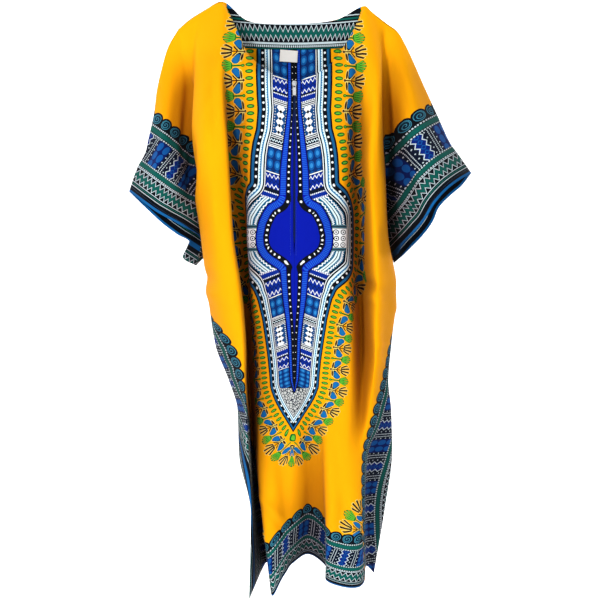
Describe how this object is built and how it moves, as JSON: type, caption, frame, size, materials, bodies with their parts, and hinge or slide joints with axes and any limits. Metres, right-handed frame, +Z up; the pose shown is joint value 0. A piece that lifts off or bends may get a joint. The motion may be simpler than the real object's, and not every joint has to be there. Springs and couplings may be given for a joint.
{
  "type": "kaftan",
  "caption": "Ankle-length printed cotton kaftan with sleeves cut in one, a scoop neck and a short front zip, held at the shoulders and hanging hollow in deep folds.",
  "frame": {"origin": "midway between the two neck points of the shoulder seams, where the kaftan is held", "axes": "+Z up, the front faces -Y, +X to the right of someone looking at the front"},
  "size_m": [0.685, 0.2157, 1.183],
  "materials": {
    "cotton_print": "matte",
    "border_print": "matte",
    "label": "satin",
    "zip_tape": "matte",
    "zip_metal": "satin"
  },
  "bodies": {
    "kaftan": {"front_panel": "cotton_print", "back_panel": "cotton_print", "back_neck_facing": "border_print", "neck_label": "label", "zip_tape_left": "zip_tape", "zip_tape_right": "zip_tape", "zip_slider": "zip_metal"},
    "zip_pull": {"zip_pull": "zip_metal"}
  },
  "joints": [
    {"name": "pull_swing", "type": "hinge", "parent": "kaftan", "child": "zip_pull", "pos_m": [0, -0.0614, -0.16904], "axis": [-1, 0, 0], "range_deg": [0, 170]}
  ]
}
